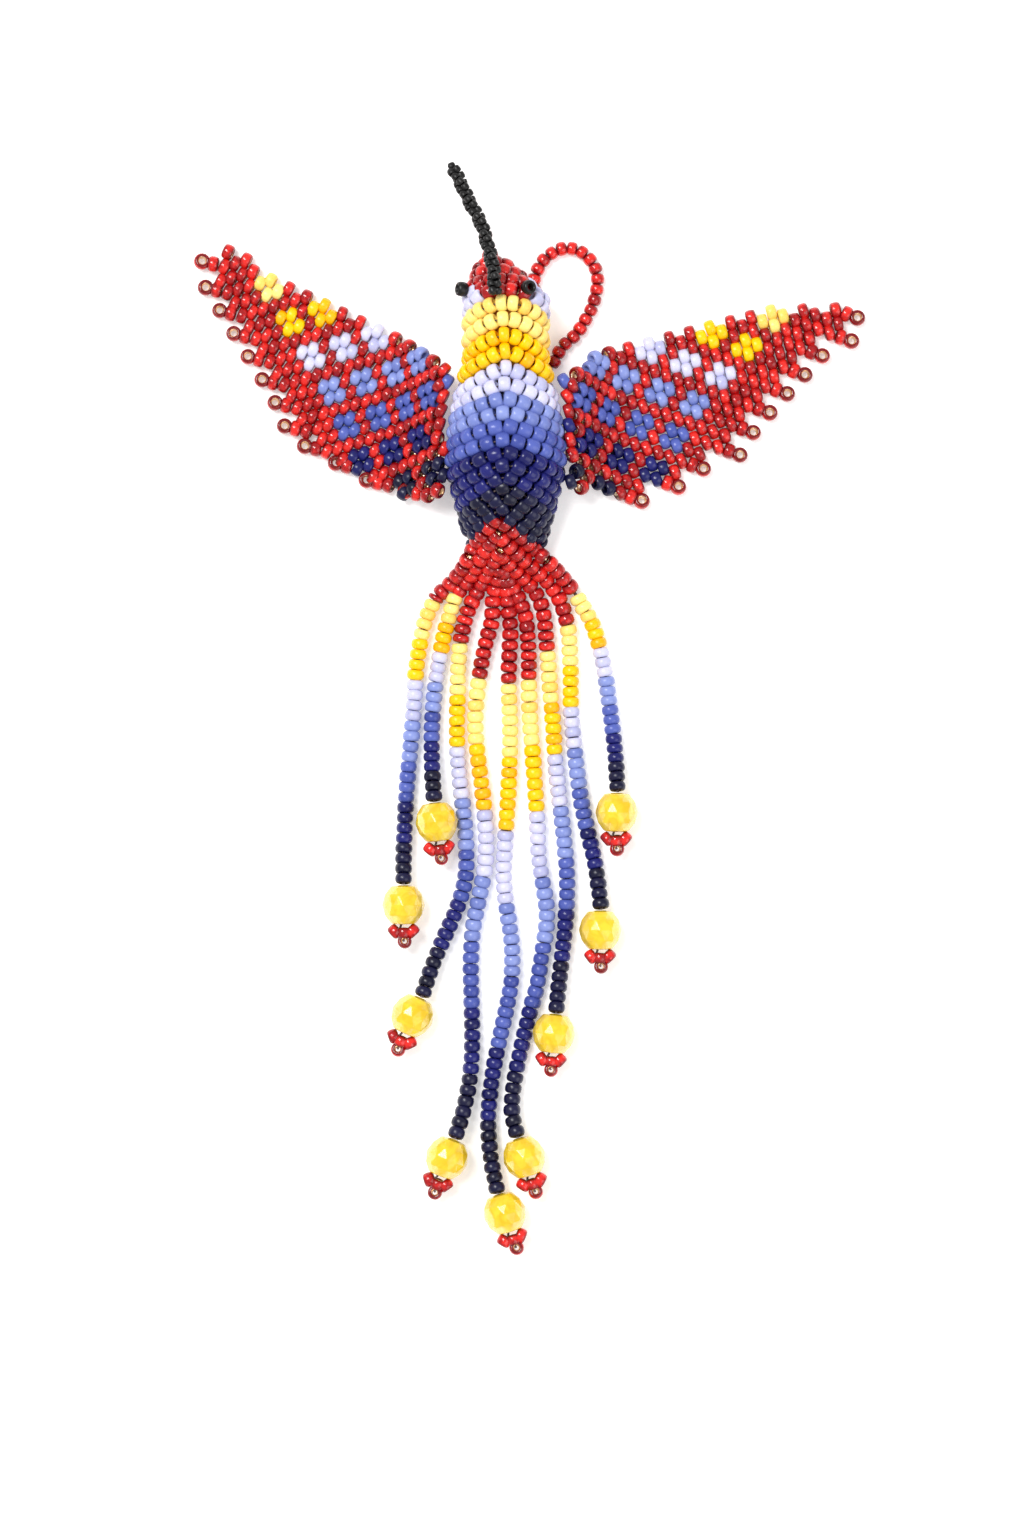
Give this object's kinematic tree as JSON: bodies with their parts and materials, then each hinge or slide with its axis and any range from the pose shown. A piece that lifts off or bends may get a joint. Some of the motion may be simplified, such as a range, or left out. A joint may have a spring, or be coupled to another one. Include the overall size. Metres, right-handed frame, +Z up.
{
  "type": "beaded hummingbird ornament",
  "caption": "Bead-woven hummingbird ornament with spread wings, a woven tail with a fringe of bead strings and faceted drops, and a hanging loop.",
  "frame": {"origin": "middle of the flattened patch of the back, on the surface that the bird lies on", "axes": "+Y from the tail to the beak, +X to the right of a viewer who looks down on the belly, +Z up from the surface"},
  "size_m": [0.0936, 0.1552, 0.0143],
  "materials": {
    "glass_cream": "polished",
    "glass_orange": "polished",
    "glass_white": "polished",
    "glass_light_blue": "polished",
    "glass_blue": "polished",
    "glass_navy": "polished",
    "glass_black_navy": "polished",
    "glass_black": "polished",
    "glass_red": "polished",
    "acrylic_yellow": "clear, faceted",
    "cotton": "matt"
  },
  "bodies": {
    "bird": {"body_core": "cotton", "throat_band": "glass_cream", "neck_band": "glass_orange", "breast_band": "glass_white", "upper_belly_band": "glass_light_blue", "belly_band": "glass_blue", "lower_belly_band": "glass_navy", "rump_band": "glass_black_navy", "tail_root": "glass_red", "crown": "glass_red", "cheek_left": "glass_white", "cheek_right": "glass_white", "eye_left": "glass_black", "eye_right": "glass_black"},
    "wing_left": {"wing_left": "glass_red"},
    "wing_right": {"wing_right": "glass_red"},
    "beak": {"beak": "glass_black"},
    "loop": {"hanging_loop": "glass_red"},
    "tail": {"tail_panel": "glass_red"},
    "string_a": {"strand_a": "glass_blue", "picot_a": "glass_red"},
    "drop_a": {"drop_bead_a": "acrylic_yellow"},
    "string_b": {"strand_b": "glass_blue", "picot_b": "glass_red"},
    "drop_b": {"drop_bead_b": "acrylic_yellow"},
    "string_c": {"strand_c": "glass_blue", "picot_c": "glass_red"},
    "drop_c": {"drop_bead_c": "acrylic_yellow"},
    "string_d": {"strand_d": "glass_blue", "picot_d": "glass_red"},
    "drop_d": {"drop_bead_d": "acrylic_yellow"},
    "string_e": {"strand_e": "glass_blue", "picot_e": "glass_red"},
    "drop_e": {"drop_bead_e": "acrylic_yellow"},
    "string_f": {"strand_f": "glass_blue", "picot_f": "glass_red"},
    "drop_f": {"drop_bead_f": "acrylic_yellow"},
    "string_g": {"strand_g": "glass_blue", "picot_g": "glass_red"},
    "drop_g": {"drop_bead_g": "acrylic_yellow"},
    "string_h": {"strand_h": "glass_blue", "picot_h": "glass_red"},
    "drop_h": {"drop_bead_h": "acrylic_yellow"},
    "string_i": {"strand_i": "glass_blue", "picot_i": "glass_red"},
    "drop_i": {"drop_bead_i": "acrylic_yellow"}
  },
  "joints": [
    {"name": "wing_left_flap", "type": "hinge", "parent": "bird", "child": "wing_left", "pos_m": [-0.009, 0, 0.0074], "axis": [0, 1, 0], "range_deg": [0, 60]},
    {"name": "wing_right_flap", "type": "hinge", "parent": "bird", "child": "wing_right", "pos_m": [0.009, 0, 0.0074], "axis": [0, -1, 0], "range_deg": [0, 60]},
    {"name": "beak_bend", "type": "hinge", "parent": "bird", "child": "beak", "pos_m": [-0.0016, 0.0202, 0.0123], "axis": [1, 0, 0], "range_deg": [0, 50]},
    {"name": "loop_swing", "type": "hinge", "parent": "bird", "child": "loop", "pos_m": [0.0051, 0.01, 0.0012], "axis": [0.048, -0.9988, 0.0048], "range_deg": [0, 40]},
    {"name": "tail_lift", "type": "hinge", "parent": "bird", "child": "tail", "pos_m": [0, -0.0166, 0.00586], "axis": [-1, 0, 0], "range_deg": [0, 45]},
    {"name": "string_a_lift", "type": "hinge", "parent": "tail", "child": "string_a", "pos_m": [-0.0098, -0.0222, 0.00215], "axis": [-1, 0, 0], "range_deg": [0, 75]},
    {"name": "drop_a_spin", "type": "hinge", "parent": "string_a", "child": "drop_a", "pos_m": [-0.0146, -0.0664, 0.00305], "axis": [0, 1, 0], "continuous": true},
    {"name": "string_b_lift", "type": "hinge", "parent": "tail", "child": "string_b", "pos_m": [-0.0072, -0.022, 0.00215], "axis": [-1, 0, 0], "range_deg": [0, 75]},
    {"name": "drop_b_spin", "type": "hinge", "parent": "string_b", "child": "drop_b", "pos_m": [-0.00987, -0.05458, 0.00305], "axis": [-0.1013, 0.9949, 0], "continuous": true},
    {"name": "string_c_lift", "type": "hinge", "parent": "tail", "child": "string_c", "pos_m": [-0.0052, -0.0238, 0.00215], "axis": [-1, 0, 0], "range_deg": [0, 75]},
    {"name": "drop_c_spin", "type": "hinge", "parent": "string_c", "child": "drop_c", "pos_m": [-0.01334, -0.08222, 0.00305], "axis": [0.4137, 0.9104, 0], "continuous": true},
    {"name": "string_d_lift", "type": "hinge", "parent": "tail", "child": "string_d", "pos_m": [-0.0019, -0.0256, 0.00215], "axis": [-1, 0, 0], "range_deg": [0, 75]},
    {"name": "drop_d_spin", "type": "hinge", "parent": "string_d", "child": "drop_d", "pos_m": [-0.0084, -0.10253, 0.00305], "axis": [0.3561, 0.9345, 0], "continuous": true},
    {"name": "string_e_lift", "type": "hinge", "parent": "tail", "child": "string_e", "pos_m": [0.0007, -0.027, 0.00215], "axis": [-1, 0, 0], "range_deg": [0, 75]},
    {"name": "drop_e_spin", "type": "hinge", "parent": "string_e", "child": "drop_e", "pos_m": [-0.00015, -0.11041, 0.00305], "axis": [-0.2975, 0.9547, 0], "continuous": true},
    {"name": "string_f_lift", "type": "hinge", "parent": "tail", "child": "string_f", "pos_m": [0.0031, -0.0274, 0.00215], "axis": [-1, 0, 0], "range_deg": [0, 75]},
    {"name": "drop_f_spin", "type": "hinge", "parent": "string_f", "child": "drop_f", "pos_m": [0.00261, -0.10242, 0.00305], "axis": [-0.2891, 0.9573, 0], "continuous": true},
    {"name": "string_g_lift", "type": "hinge", "parent": "tail", "child": "string_g", "pos_m": [0.0056, -0.0258, 0.00215], "axis": [-1, 0, 0], "range_deg": [0, 75]},
    {"name": "drop_g_spin", "type": "hinge", "parent": "string_g", "child": "drop_g", "pos_m": [0.00685, -0.08478, 0.00305], "axis": [0.1065, 0.9943, 0], "continuous": true},
    {"name": "string_h_lift", "type": "hinge", "parent": "tail", "child": "string_h", "pos_m": [0.0085, -0.0249, 0.00215], "axis": [-1, 0, 0], "range_deg": [0, 75]},
    {"name": "drop_h_spin", "type": "hinge", "parent": "string_h", "child": "drop_h", "pos_m": [0.01348, -0.07, 0.00305], "axis": [0.0058, 1, 0], "continuous": true},
    {"name": "string_i_lift", "type": "hinge", "parent": "tail", "child": "string_i", "pos_m": [0.0097, -0.0215, 0.00215], "axis": [-1, 0, 0], "range_deg": [0, 75]},
    {"name": "drop_i_spin", "type": "hinge", "parent": "string_i", "child": "drop_i", "pos_m": [0.01583, -0.0532, 0.00305], "axis": [0.0172, 0.9999, 0], "continuous": true}
  ]
}
